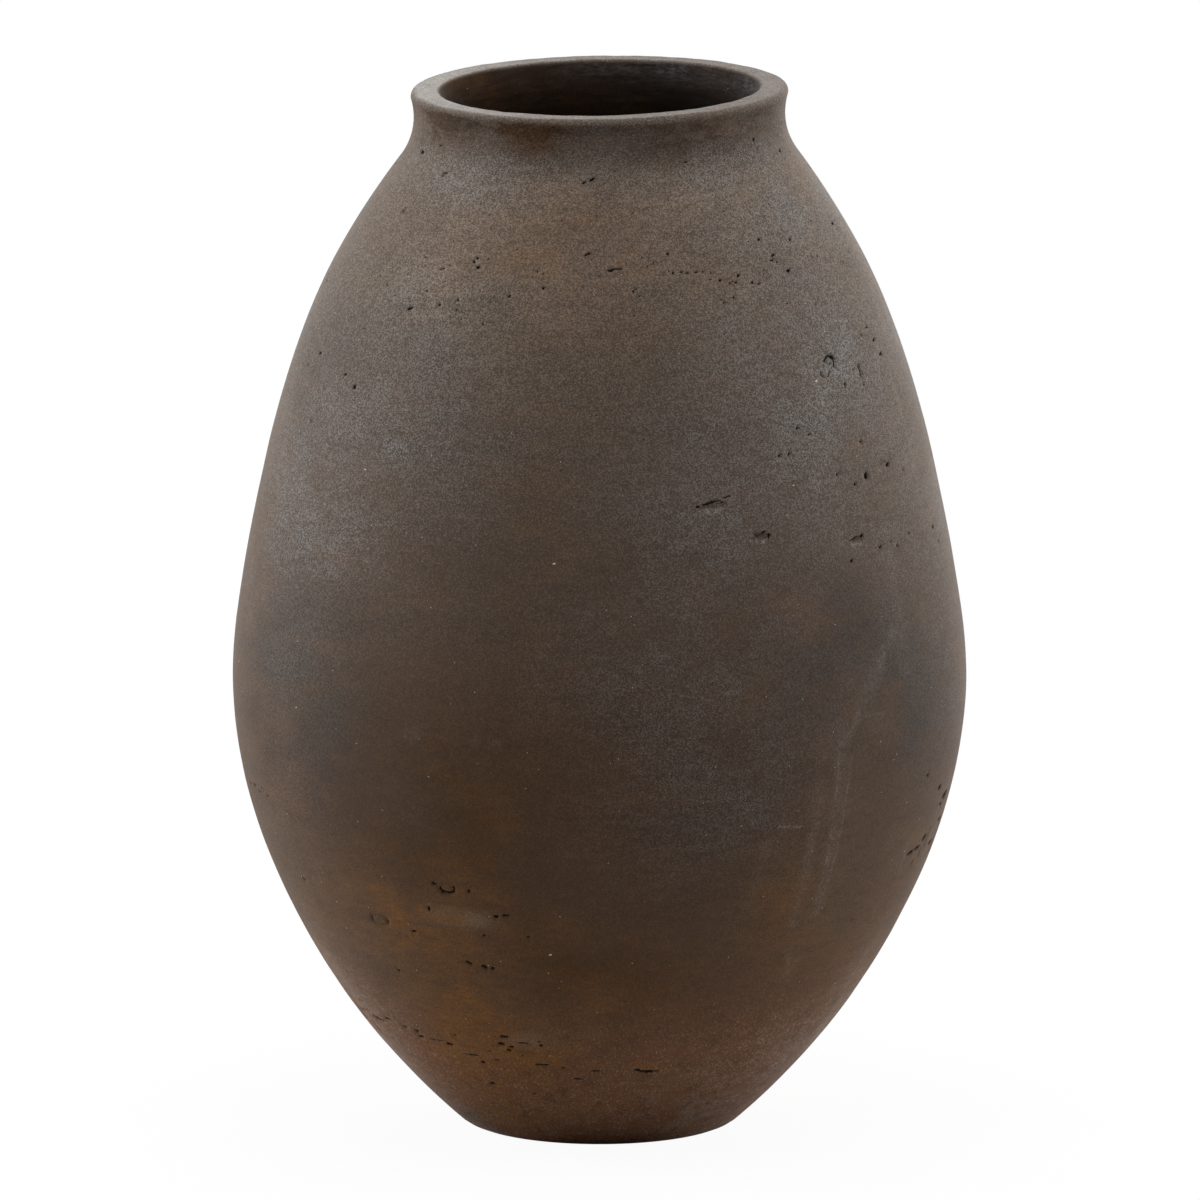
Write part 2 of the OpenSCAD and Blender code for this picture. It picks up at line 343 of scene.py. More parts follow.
# Soft patches of colour on the outside, by mask
PATCHES = {
    "ash": listed(
        Patch,
        (-58, 240, 14, 40, 0.24), (-40, 280, 16, 24, 0.28), (-50, 373, 20, 8, 0.32),
        (-34, 334, 16, 14, 0.22), (44, 308, 14, 22, 0.46), (16, 208, 14, 30, 0.18),
        (16, 150, 12, 24, 0.16), (-8, 200, 10, 18, 0.06), (58, 362, 26, 12, 0.3), (8, 378, 34, 6, 0.28),
        (28, 262, 14, 18, 0.24), (66, 250, 14, 36, 0.16), (44, 30, 16, 18, 0.12), (-66, 44, 10, 20, 0.12),
        (-66, 140, 10, 30, 0.06), (120, 300, 30, 40, 0.24), (170, 240, 26, 50, 0.18),
        (-125, 320, 34, 40, 0.24), (-150, 200, 26, 40, 0.18), (95, 180, 24, 30, 0.14),
    ),
    "tan": listed(
        Patch,
        (-20, 348, 22, 16, 0.7), (10, 369, 60, 7, 0.4), (46, 346, 18, 16, 0.4), (-14, 320, 16, 18, 0.2),
        # Painted light: (-72, 44) and (72, 36) on the next row, and (-76, 170) after them, lighten the
        # wall's side edges.
        (-72, 44, 11, 24, 0.7), (72, 36, 12, 22, 0.6), (34, 20, 20, 14, 0.4), (-10, 14, 24, 8, 0.25),
        (-18, 49.6, 4, 2.4, 0.8), (-76, 170, 6, 60, 0.2), (41, 120, 5, 36, 0.1), (62, 110, 10, 24, 0.05),
        (-25.5, 101.6, 4, 2.2, 1.6), (150, 340, 40, 20, 0.35), (-120, 80, 20, 24, 0.3),
        (120, 60, 24, 20, 0.3),
    ),
    "rust": listed(
        Patch,
        (-23, 393, 6, 4, 0.14), (-21, 388, 4, 4, 0.12), (-4, 365, 9, 8, 0.09), (-20, 352, 14, 16, 0.09),
        (-6, 290, 16, 40, 0.08), (-42, 12, 12, 8, 0.4), (20, 356, 10, 8, 0.1), (-22, 150, 14, 40, 0.18),
        (-28, 92, 16, 26, 0.32), (-39, 98, 3, 6, 0.24), (-36, 66, 8, 14, 0.34), (-30, 42, 16, 12, 0.54),
        (-24, 22, 14, 10, 0.78), (4, 70, 22, 20, 0.2), (34, 106, 9, 18, 0.18), (13.4, 38, 2.6, 1, 3),
        (-14, 40.4, 3, 1, 2.4), (62, 90, 10, 26, 0.12), (-62, 100, 10, 30, 0.12),
        (-25.5, 101.6, 4, 2.2, 0.6), (110, 70, 16, 26, 0.3), (150, 40, 18, 18, 0.35),
        (-110, 60, 18, 22, 0.3), (-160, 100, 14, 20, 0.25), (140, 340, 16, 14, 0.15),
        (-140, 380, 14, 8, 0.25), (-170, 30, 14, 12, 0.35),
    ),
    "scorch_and_shade": listed(
        Patch,
        # Every patch here at heights 386 to 396, except the wedge at (-23, 392), is painted shade: a dark
        # band round the throat under the lip.
        (-22, 140, 16, 34, 0.36), (-1, 72, 10, 24, 0.62), (-23, 392, 6, 5, 0.6), (-50, 391, 24, 5, 0.52),
        (-46, 396, 22, 2, 0.8), (44, 396, 22, 2, 0.46), (4, 396, 12, 2, 0.26), (36, 70, 14, 14, 0.12),
        # (-55, 9) on the next row is painted shade: the contact shadow at the heel on the left.
        (-43, 96, 1.7, 1.7, 0.5), (-55, 9, 12, 8, 0.95), (-72, 386, 10, 8, 0.28), (-62, 156, 9, 22, 0.25),
        (40, 389, 22, 5, 0.58), (6, 320, 10, 16, 0.08), (130, 150, 26, 40, 0.35),
        (-120, 130, 24, 40, 0.3), (180, 140, 24, 30, 0.3), (150, 389, 50, 5, 0.4),
        (-130, 389, 40, 5, 0.4),
    ),
    "soot": listed(
        Patch,
        (-58, 172, 14, 44, 0.64), (44, 196, 14, 24, 0.58), (-43, 96, 1.6, 1.7, 0.8),
        (64, 165, 12, 36, 0.36), (20, 132, 12, 24, 0.22), (-52, 125, 12, 30, 0.24),
        (-66, 298, 12, 22, 0.34), (160, 180, 30, 50, 0.3), (-110, 220, 24, 50, 0.3),
    ),
}

# The same for the inside of the mouth
INSIDE_PATCHES = {
    "ash": listed(Patch, (126, 396, 24, 3.5, 0.3), (165, 398, 24, 3, 0.12)),
    "rust": listed(Patch, (-95, 388, 40, 14, 0.24), (-140, 380, 24, 16, 0.1)),
}


class Line(NamedTuple):
    """A straight stretch of the section."""

    start: complex
    end: complex

    @property
    def span(self):
        """Its length."""
        return abs(self.end - self.start)

    def at(self, along):
        """Points and outward normals: the start plus way times distance, and the way turned right."""
        way = (self.end - self.start) / self.span
        return self.start + way * along, np.full(along.shape, -1j * way)


class Arc(NamedTuple):
    """A round stretch of the section. A positive sweep turns left."""

    centre: complex
    radius: float
    start: float
    sweep: float

    @property
    def span(self):
        """Its length."""
        return self.radius * abs(self.sweep)

    def at(self, along):
        """Points and outward normals: the spoke at each distance, pointing inwards where it turns right."""
        side = math.copysign(1, self.sweep)
        spoke = np.exp(1j * (self.start + side * along / self.radius))
        return self.centre + self.radius * spoke, side * spoke


def arc(centre, radius, start, end, side=1):
    """The arc about a centre from one point's direction to another's, to the left or the right."""
    first = np.angle(start - centre)
    sweep = side * ((side * (np.angle(end - centre) - first)) % (2 * math.pi))
    return Arc(centre, radius, first, sweep)


def crossing(a, radius_a, b, radius_b):
    """Where circles about a and b cross, on the left of the way from a to b."""
    span = abs(b - a)
    along = (span**2 + radius_a**2 - radius_b**2) / (2 * span)
    return a + (along + 1j * math.sqrt(radius_a**2 - along**2)) * (b - a) / span


def on_ray(centre, towards, radius):
    """The point at a radius from a centre, on the ray towards another point."""
    return centre + radius * (towards - centre) / abs(towards - centre)


def bulge(centre, radius, height):
    """The point of a circle's outer half at a height."""
    return centre.real + math.sqrt(radius**2 - (height - centre.imag) ** 2) + 1j * height


def section_pieces(o):
    """The half section as lines and arcs, from the middle of the underside, up the outside, over the rim
    and down the inside to the middle of the floor. Each arc is tangent to the next, as in the solids."""
    foot_r = o.foot_d / 2
    heel_c = foot_r + 1j * o.heel_round
    belly_c = o.belly_d / 2 - o.belly_round + 1j * o.belly_h
    lower_c = crossing(
        heel_c, o.lower_wall_round - o.heel_round, belly_c, o.lower_wall_round - o.belly_round
    )
    heel_end = on_ray(lower_c, heel_c, o.lower_wall_round)
    lower_end = on_ray(lower_c, belly_c, o.lower_wall_round)
    belly_end = bulge(belly_c, o.belly_round, o.belly_h + o.belly_rise)
    upper_c = on_ray(belly_end, belly_c, o.upper_wall_round)
    upper_end = bulge(upper_c, o.upper_wall_round, o.shoulder_h)

    throat = o.throat_d / 2 + 1j * (o.height - o.throat_drop)
    lip_c = throat.real + o.rim_flare - o.lip_round + 1j * (o.height - o.lip_round)
    neck_round = (abs(lip_c - throat) ** 2 - o.lip_round**2) / (2 * o.rim_flare)
    neck_c = throat + neck_round
    neck_end = on_ray(neck_c, lip_c, neck_round)

    inward = (upper_c - upper_end) / o.upper_wall_round
    gap = upper_end - neck_c
    along = (gap * inward.conjugate()).real
    shoulder_round = (neck_round**2 - abs(gap) ** 2) / (2 * (along - neck_round))
    shoulder_c = upper_end + shoulder_round * inward
    shoulder_end = on_ray(shoulder_c, neck_c, shoulder_round)

    inner_round = neck_round + o.wall
    mouth_h = o.height - o.mouth_round
    mouth_rise = mouth_h - throat.imag
    mouth_c = neck_c.real - math.sqrt((inner_round - o.mouth_round) ** 2 - mouth_rise**2) + 1j * mouth_h
    fillet_c = bulge(lower_c, o.lower_wall_round - o.wall - o.floor_fillet, o.floor_t + o.floor_fillet)

    ring_r = foot_r - o.rest_ring_w
    roof = ring_r - 2 * o.foot_hollow + 1j * o.foot_hollow
    return [
        Line(1j * o.foot_hollow, roof),
        Line(roof, complex(ring_r)),
        Line(complex(ring_r), complex(foot_r)),
        arc(heel_c, o.heel_round, foot_r, heel_end),
        arc(lower_c, o.lower_wall_round, heel_end, lower_end),
        arc(belly_c, o.belly_round, lower_end, belly_end),
        arc(upper_c, o.upper_wall_round, belly_end, upper_end),
        arc(shoulder_c, shoulder_round, upper_end, shoulder_end),
        arc(neck_c, neck_round, shoulder_end, neck_end, -1),
        arc(lip_c, o.lip_round, neck_end, lip_c + 1j),
        Line(lip_c + 1j * o.lip_round, mouth_c + 1j * o.mouth_round),
        arc(mouth_c, o.mouth_round, mouth_c + 1j, 2 * mouth_c - neck_c),
        arc(neck_c, inner_round, mouth_c, shoulder_end),
        arc(shoulder_c, shoulder_round - o.wall, shoulder_end, upper_end, -1),
        arc(upper_c, o.upper_wall_round - o.wall, upper_end, belly_end, -1),
        arc(belly_c, o.belly_round - o.wall, belly_end, lower_end, -1),
        arc(lower_c, o.lower_wall_round - o.wall, lower_end, fillet_c, -1),
        arc(fillet_c, o.floor_fillet, 2 * fillet_c - lower_c, fillet_c - 1j, -1),
        Line(fillet_c.real + 1j * o.floor_t, 1j * o.floor_t),
    ]


# Places of some pieces in that list, and the number of points in a table of the section
HEEL, LIP, RIM_TOP, MOUTH_EDGE = 3, 9, 10, 11
TABLE = 8001


class Section:
    """The half section by distance along it, with the places where the luted joints cross it."""

    def __init__(self, outline):
        self.pieces = section_pieces(outline)
        self.starts = np.concatenate([[0.0], np.cumsum([piece.span for piece in self.pieces])])
        self.end = self.starts[-1]
        self.outer = np.linspace(self.starts[HEEL], self.starts[RIM_TOP], TABLE)
        self.outer_heights = self.at(self.outer)[0].imag
        self.joints_out = self.outside(np.array(JOINT_HEIGHTS))
        rise = math.tan(outline.lute_bevel)
        inner = np.linspace(self.starts[MOUTH_EDGE], self.end, TABLE)
        point = self.at(inner)[0]
        climb = point.imag + rise * point.real
        edge = self.at(self.joints_out)[0]
        self.joints_in = np.interp(-(edge.imag + rise * edge.real), -climb, inner)

    def at(self, distance):
        """Points and outward normals at an array of distances."""
        distance = np.atleast_1d(distance)
        points = np.zeros(distance.shape, complex)
        normals = np.zeros(distance.shape, complex)
        which = np.clip(np.searchsorted(self.starts, distance, "right") - 1, 0, len(self.pieces) - 1)
        for index, piece in enumerate(self.pieces):
            here = which == index
            points[here], normals[here] = piece.at(distance[here] - self.starts[index])
        return points, normals

    def outside(self, height):
        """Distance at which the outside reaches a height."""
        return np.interp(height, self.outer_heights, self.outer)


def smooth(x, low, high):
    """A smooth step from 0 at low to 1 at high."""
    t = np.clip((x - low) / (high - low), 0, 1)
    return t * t * (3 - 2 * t)


def turned(degrees):
    """An angle brought between -180 and 180 degrees."""
    return (degrees + 180) % 360 - 180


class Noise(NamedTuple):
    """A kind of random lumps: their size in millimetres, and what is added to the seed for them."""

    size: float
    seed: int


# Unevenness of the wall: its slow wobble, finger dents, wiped lines inside, and lumps on the rim's flat top
WOBBLE, DENTS, WIPING, RIM_LUMPS = Noise(90, 0), Noise(14, 10), Noise(16, 20), Noise(9, 30)
# Ragged edges of marks, the border between clay colours, and the wear and painted highlight on the rim
RAGGED, BORDER, WEAR_AND_HIGHLIGHT = Noise(1.1, 40), Noise(60, 80), Noise(6, 100)
# Broken edges of the patches, one kind for each mask
OUTSIDE_EDGES = [Noise(24, seed) for seed in (50, 55, 60, 65, 70)]
INSIDE_EDGES = [Noise(24, seed) for seed in (90, 95)]

LATTICE = 64
OCTAVES = range(3)


def lumps(place, size, seed):
    """Smooth random values from 0 to 1: a lattice of seeded values, blended between its eight corners."""
    table = np.random.default_rng(seed).random((LATTICE, LATTICE, LATTICE), dtype=np.float32)
    scaled = place / size
    base = np.floor(scaled).astype(int)
    part = scaled - base
    part = part * part * (3 - 2 * part)
    total = np.zeros(place.shape[:-1])
    for corner in itertools.product((0, 1), repeat=3):
        weight = np.prod(np.where(corner, part, 1 - part), axis=-1)
        cell = (base + corner) % LATTICE
        total += weight * table[cell[..., 0], cell[..., 1], cell[..., 2]]
    return total


# Number of places at which a pitch is read
STATION_TABLE = 4001


def stations(start, end, pitch, most=math.inf):
    """Places from start to end, as far apart as pitch says there: even steps of the sum of 1 / pitch.
    Where that gives more steps than most, all of them are stretched alike."""
    place = np.linspace(start, end, STATION_TABLE)
    rate = 1 / pitch(place)
    count = np.concatenate([[0.0], np.cumsum((rate[1:] + rate[:-1]) / 2 * np.diff(place))])
    return np.interp(np.linspace(0, count[-1], min(math.ceil(count[-1]), most) + 1), count, place)


# Degrees between columns on the front and behind, and the azimuths between which the one becomes the other
FRONT_PITCH, BACK_PITCH = 0.25, 0.7
FRONT_END, BACK_START = 85, 100


def column_azimuths():
    """Azimuths of the columns: close together on the front, where the marks were read, and wider behind."""

    def pitch(azimuth):
        return BACK_PITCH - (BACK_PITCH - FRONT_PITCH) * smooth(-abs(azimuth), -BACK_START, -FRONT_END)

    return stations(-180, 180, pitch)[:-1]


# Distances between rows: next to a joint, at a mark and between marks
JOINT_ROW, FINE_ROW, WIDE_ROW = 0.05 * MM, 0.5 * MM, 2.4 * MM
# The same over the rim, on its edges, in the mouth and deep inside
RIM_ROW, LIP_ROW, MOUTH_ROW, INNER_ROW = 0.62 * MM, 0.42 * MM, 1.6 * MM, 9 * MM
# How far before the lip the close rows start, and how far down the inside they start and end to widen
LIP_LEAD, WIDER_FROM, WIDER_TO = 2 * MM, 20 * MM, 70 * MM
# Most steps up a course and over the rim, which keeps each piece under 200,000 triangles
MOST_OUTER, MOST_RIM = 82, 94


def edged(start, end, pitch, most=math.inf):
    """Stations between two joints, and a row close to each, so that smooth shading holds up to it."""
    return np.concatenate([[start], stations(start + JOINT_ROW, end - JOINT_ROW, pitch, most), [end]])


def outer_pitch(section, marks):
    """Spacing of rows on the outside: close where a mark lies, wider between marks."""
    middles = section.outside(np.array([mark.height for mark in marks]) * MM)
    turns = np.radians([mark.turn for mark in marks])
    wide = np.array([mark.across for mark in marks]) * abs(np.sin(turns))
    reaches = (wide + [mark.tall for mark in marks] * np.cos(turns) + 1) / 2 * MM

    def pitch(distance):
        marked = (abs(distance[:, None] - middles) < reaches).any(axis=1)
        return np.where(marked, FINE_ROW, WIDE_ROW)

    return pitch


def rim_pitch(section):
    """Spacing of rows over the rim: close on the lip and the mouth's edge."""
    low, high = section.starts[LIP] - LIP_LEAD, section.starts[MOUTH_EDGE + 1]

    def pitch(distance):
        return np.where((distance > low) & (distance < high), LIP_ROW, RIM_ROW)

    return pitch


def inner_pitch(section):
    """Spacing of rows inside: closer near the mouth, where they show."""
    mouth = section.starts[MOUTH_EDGE + 1]

    def pitch(distance):
        return MOUTH_ROW + (INNER_ROW - MOUTH_ROW) * smooth(distance, mouth + WIDER_FROM, mouth + WIDER_TO)

    return pitch


# What each point of the clay carries
MASKS = ("pit", "pale", "ash", "soot", "tan", "rust", "scorch_and_shade", "high", "low", "inside", "grit")

# How far past the start of the mouth's edge the inside begins, and where it is whole
INSIDE_FROM, INSIDE_TO = 0.6 * MM, 2.6 * MM

# Where the edge of a mark starts and ends, in half widths of the mark
PIT_WALL, PIT_STAIN, FLAKE_WALL, GRAIN_WALL = (0.65, 1.25), (0.75, 1.2), (0.85, 1.1), (0.5, 1.4)
# Degrees in which a ring's ends fade, and how far a grain stands out
RING_FADE, GRAIN_RISE = 15, 0.15 * MM
# How a cloud breaks up patches: its gain, what is taken off, and the least that stays
PATCH_GAIN, PATCH_LOSS, PATCH_LEAST = 2.6, 0.3, 0.2


class Skin:
    """A grid on the clay: rows along the section, columns round the axis, and what each point carries."""

    def __init__(self, section, hand, rows):
        self.section = section
        self.hand = hand
        self.rows = rows
        self.azimuth = column_azimuths()
        self.point, self.normal = section.at(rows)
        turn = np.radians(self.azimuth)
        self.spokes = np.stack([np.sin(turn), -np.cos(turn)], axis=-1)
        shape = (len(rows), len(turn))
        self.place = np.empty(shape + (3,))
        self.place[..., :2] = self.point.real[:, None, None] * self.spokes
        self.place[..., 2] = self.point.imag[:, None]
        self.relief = np.zeros(shape)
        self.masks = {name: np.zeros(shape) for name in MASKS}
        self.ragged = lumps(self.place, RAGGED.size * MM, hand.seed + RAGGED.seed)
        edge = section.starts[MOUTH_EDGE]
        self.out_share = 1 - smooth(rows, section.starts[LIP], section.starts[RIM_TOP])[:, None]
        self.in_share = smooth(rows, edge + INSIDE_FROM, edge + INSIDE_TO)[:, None]
        self.top_share = 1 - self.out_share - self.in_share

    def cloud(self, noise, stretch=1):
        """Lumps at three sizes, each half as large and half as strong as the last, from 0 to 1."""
        place, size, seed = self.place * stretch, noise.size * MM, self.hand.seed + noise.seed
        total = sum(lumps(place, size / 2**octave, seed + octave) / 2**octave for octave in OCTAVES)
        return total / sum(1 / 2**octave for octave in OCTAVES)

    def near(self, azimuth, distance, reach):
        """Rows and columns within reach of a place outside, and how far right of and above it they lie."""
        off = np.radians(turned(self.azimuth - azimuth))
        rows = np.nonzero(abs(self.rows - distance) < reach)[0]
        columns = np.nonzero(abs(off) * np.interp(distance, self.rows, self.point.real) < reach)[0]
        right = off[columns] * self.point.real[rows][:, None]
        above = np.broadcast_to((self.rows[rows] - distance)[:, None], right.shape)
        return np.ix_(rows, columns), right, above

    def local(self, mark, widest):
        """The points round a mark, and their places along and across it, in its half widths."""
        distance = float(self.section.outside(mark.height * MM))
        where, right, above = self.near(mark.azimuth, distance, widest * MM)
        turn = math.radians(mark.turn)
        along = (right * math.cos(turn) + above * math.sin(turn)) / (mark.across / 2 * MM)
        across = (above * math.cos(turn) - right * math.sin(turn)) / (mark.tall / 2 * MM)
        return where, along, across

    def sink(self, where, depth):
        """Lowers the surface to a depth, where it isn't lower already."""
        self.relief[where] = np.minimum(self.relief[where], -depth * MM)

    def stain(self, name, where, strength):
        """Raises a mask to a strength."""
        self.masks[name][where] = np.maximum(self.masks[name][where], strength)

    def press_pit(self, mark):
        """A hole with steep ragged sides: full depth inside an ellipse, none just outside it."""
        where, along, across = self.local(mark, mark.across)
        reach = np.hypot(along, across) * (0.75 + 0.5 * self.ragged[where])
        self.sink(where, mark.depth * (1 - smooth(reach, *PIT_WALL)))
        # The dark stain inside the hole is painted shade of its depth.
        self.stain("pit", where, 1 - smooth(reach, *PIT_STAIN))

    def press_ring(self, mark):
        """A groove where the distance from the middle, in half widths, is near 1, along the sweep."""
        where, along, across = self.local(mark, mark.across)
        reach = np.hypot(along, across) + 0.35 * (self.ragged[where] - 0.5)
        past = (np.degrees(np.arctan2(across, along)) - mark.start) % 360
        thin = mark.groove / min(mark.across, mark.tall)
        groove = np.exp(-(((reach - 1) / thin) ** 2))
        if mark.sweep < 360:
            ends = smooth(past, 0, RING_FADE) * (1 - smooth(past, mark.sweep - RING_FADE, mark.sweep))
            groove = groove * ends
        self.sink(where, mark.depth * groove)
        # The groove's dark stain is painted shade.
        self.stain("pit", where, min(mark.depth, 0.9) * groove * smooth(groove, 0.2, 0.7))

    def press_flake(self, mark):
        """A shallow floor that rises from a steep upper edge to nothing at its lower edge, with painted
        shade in dark brown under the upper edge and to the right, and pale crumbs on the lower left."""
        where, along, across = self.local(mark, mark.across)
        ragged = self.ragged[where]
        inside = 1 - smooth(np.hypot(along, across) * (0.7 + 0.6 * ragged), *FLAKE_WALL)
        lean = across + 0.6 * along
        crumbs = smooth(ragged, 0.3, 0.7)
        self.sink(where, mark.depth * inside * np.clip(0.45 + 0.55 * across, 0, 1))
        # Painted shade under the flake's upper edge, in the scorch colour.
        self.stain("scorch_and_shade", where, 0.8 * mark.depth * inside * smooth(lean, -0.3, 0.5))
        self.stain("pale", where, 0.6 * mark.depth * inside * smooth(-lean, 0, 0.5) * crumbs)

    def rub_scrape(self, mark):
        """A pale line: strongest on the straight way between its ends, broken up by the grain."""
        ends = self.section.outside(np.array([mark.height, mark.end_height]) * MM)
        radius = np.interp(ends.mean(), self.rows, self.point.real)
        step = math.radians(mark.end_azimuth - mark.azimuth) * radius + 1j * (ends[1] - ends[0])
        where, right, above = self.near(mark.azimuth, ends[0], abs(step) + 3 * mark.width * MM)
        spot = right + 1j * above
        along = np.clip((spot * step.conjugate()).real / abs(step) ** 2, 0, 1)
        away = abs(spot - along * step) / (mark.width * MM)
        broken = smooth(self.ragged[where], 0.25, 0.75)
        self.stain("pale", where, mark.strength * np.exp(-(away**2)) * (0.35 + 0.65 * broken))

    def set_grain(self, mark):
        """A white grain that stands a little out of the wall."""
        where, along, across = self.local(mark, 2 * mark.across)
        grain = 1 - smooth(np.hypot(along, across), *GRAIN_WALL)
        self.relief[where] += GRAIN_RISE * grain
        self.stain("grit", where, grain)

    def tint(self, name, patches, side, edges):
        """Adds soft patches to a mask, outside or inside: each falls off as a bell curve, and a cloud
        breaks their edges."""
        total = np.zeros(self.relief.shape)
        heights = self.point.imag[:, None] / MM
        for patch in patches:
            off = turned(self.azimuth - patch.azimuth)[None, :] / patch.wide
            up = (heights - patch.height) / patch.tall
            total += patch.strength * np.exp(-(off**2 + up**2) / 2)
        broken = np.maximum(PATCH_GAIN * self.cloud(edges) - PATCH_LOSS, PATCH_LEAST)
        self.masks[name] += np.clip(total * broken, 0, 1) * side


# Pinholes strewn round the foot of the neck: their number, and the ranges of azimuth, width and depth
PINHOLES, PINHOLE_SIDES, PINHOLE_WIDTHS, PINHOLE_DEPTHS = 70, (-75, 85), (0.5, 0.9), (0.3, 0.5)
# Pits strewn along each joint behind: the same, and how often each width comes
JOINT_PITS, JOINT_SIDES, JOINT_DEPTHS = 26, (86, 274), (0.6, 1.1)
JOINT_WIDTHS, WIDTH_CHANCES = (1.2, 1.6, 2.4, 3.6, 5.0), (0.3, 0.3, 0.2, 0.15, 0.05)
# Middle and spread of the pinholes' height, of the pits' height over their joint, and of the pits' turn
PINHOLE_HEIGHT, JOINT_OFFSET, JOINT_TURN = (341, 7), (0, 5), (4, 10)


def scattered_pits(seed):
    """Pinholes strewn round the foot of the neck, and pits along all joints at the back and the sides,
    where no mark was read."""
    draw = np.random.default_rng(seed)
    pits = []
    for _ in range(PINHOLES):
        across = draw.uniform(*PINHOLE_WIDTHS)
        azimuth = draw.uniform(*PINHOLE_SIDES)
        height = draw.normal(*PINHOLE_HEIGHT)
        pits.append(Mark(azimuth, height, across, across, 0, draw.uniform(*PINHOLE_DEPTHS)))
    for joint in JOINT_HEIGHTS[1:]:
        for _ in range(JOINT_PITS):
            azimuth = draw.uniform(*JOINT_SIDES)
            height = joint / MM + draw.normal(*JOINT_OFFSET)
            across = draw.choice(JOINT_WIDTHS, p=WIDTH_CHANCES)
            tall = draw.uniform(0.9, 1.3) + (across < 2) * draw.uniform(0, 0.6)
            turn = draw.normal(*JOINT_TURN)
            pits.append(Mark(turned(azimuth), height, across, tall, turn, draw.uniform(*JOINT_DEPTHS)))
    return pits


# Heights in millimetres between which the unevenness comes in, the light clay of the upper wall comes in,
# and the warm clay of the foot goes out
FOOTING, UPPER_CLAY, FOOT_CLAY = (3, 26), (130, 340), (10, 90)
# How much flatter than wide wiped lines are, how uneven the rim's top is, and how far clay colours stray
WIPE_STRETCH, RIM_UNEVEN, STRAY = np.array([1, 1, 6]), 0.5 * MM, 40
# Wear on the rim's top: everywhere and more on both sides; most on the left, which is a painted highlight
WEAR_LEVEL, WEAR_SIDES, HIGHLIGHT_LEFT = 0.34, 0.4, 0.42
# Share of the height at which the rim's tilt starts
TILT_FROM = 0.75


def shape_wall(skin):
    """Relief of the hand-built wall: swellings at the pressed places, a slow wobble, finger dents and,
    inside, lines left by wiping. It dies out at the ground, so that the foot stands flat."""
    hand, heights = skin.hand, skin.point.imag[:, None] / MM
    swell = sum(np.exp(-(((heights - place) / SWELLING_REACH) ** 2)) for place in SWELLINGS) * hand.swelling
    wobble = (skin.cloud(WOBBLE) - 0.5) * 2 * hand.wobble
    dents = (skin.cloud(DENTS) - 0.5) * 2 * hand.dents
    wiped = (skin.cloud(WIPING, WIPE_STRETCH) - 0.5) * 2 * hand.wiping
    uneven = (swell + wobble + dents) * skin.out_share + (wobble + wiped) * skin.in_share
    skin.relief += smooth(heights, *FOOTING) * uneven
    skin.relief += skin.top_share * (skin.cloud(RIM_LUMPS) - 0.5) * RIM_UNEVEN


def mark_wall(skin, pits):
    """Puts the listed marks, the colour patches, and the rim's wear and painted highlight on the wall."""
    for press, marks in (
        (skin.press_flake, FLAKES),
        (skin.press_pit, pits),
        (skin.press_ring, RINGS),
        (skin.rub_scrape, SCRAPES),
        (skin.set_grain, GRAINS),
    ):
        for mark in marks:
            press(mark)
    for (name, patches), edges in zip(PATCHES.items(), OUTSIDE_EDGES):
        skin.tint(name, patches, skin.out_share, edges)
    for (name, patches), edges in zip(INSIDE_PATCHES.items(), INSIDE_EDGES):
        skin.tint(name, patches, skin.in_share, edges)
    masks, right = skin.masks, skin.spokes[:, 0]
    # The rim's top is pale from wear, and palest on the left as a painted highlight.
    sides = WEAR_LEVEL + WEAR_SIDES * right**2 - HIGHLIGHT_LEFT * right
    worn_and_lit = skin.top_share**4 * sides * (0.5 + 0.8 * skin.cloud(WEAR_AND_HIGHLIGHT))
    heights = skin.place[..., 2] / MM + STRAY * (skin.cloud(BORDER) - 0.5)
    masks["pale"] = np.maximum(masks["pale"], worn_and_lit)
    masks["high"] = smooth(heights, *UPPER_CLAY)
    masks["low"] = 1 - smooth(heights, *FOOT_CLAY)
    masks["inside"] = np.broadcast_to(skin.in_share, heights.shape)


def placed(skin, height):
    """Final points: the true surface moved along its normal by the relief, then raised on the right by the
    rim's tilt."""
    moved = skin.point[:, None] + skin.normal[:, None] * skin.relief
    out = np.empty(skin.place.shape)
    out[..., :2] = moved.real[..., None] * skin.spokes
    lift = skin.hand.rim_tilt * smooth(moved.imag, TILT_FROM * height, height)
    out[..., 2] = moved.imag + lift * skin.spokes[:, 0]
    return out


# Each piece carries a UV map of this name. The export bakes through a map of this name
UV_NAME = "OFBake"
# Height of a luted face on that map, in rows, and the part of the map that each pole's fan takes
SEAM_RUN, POLE_PART = 0.2, 0.02


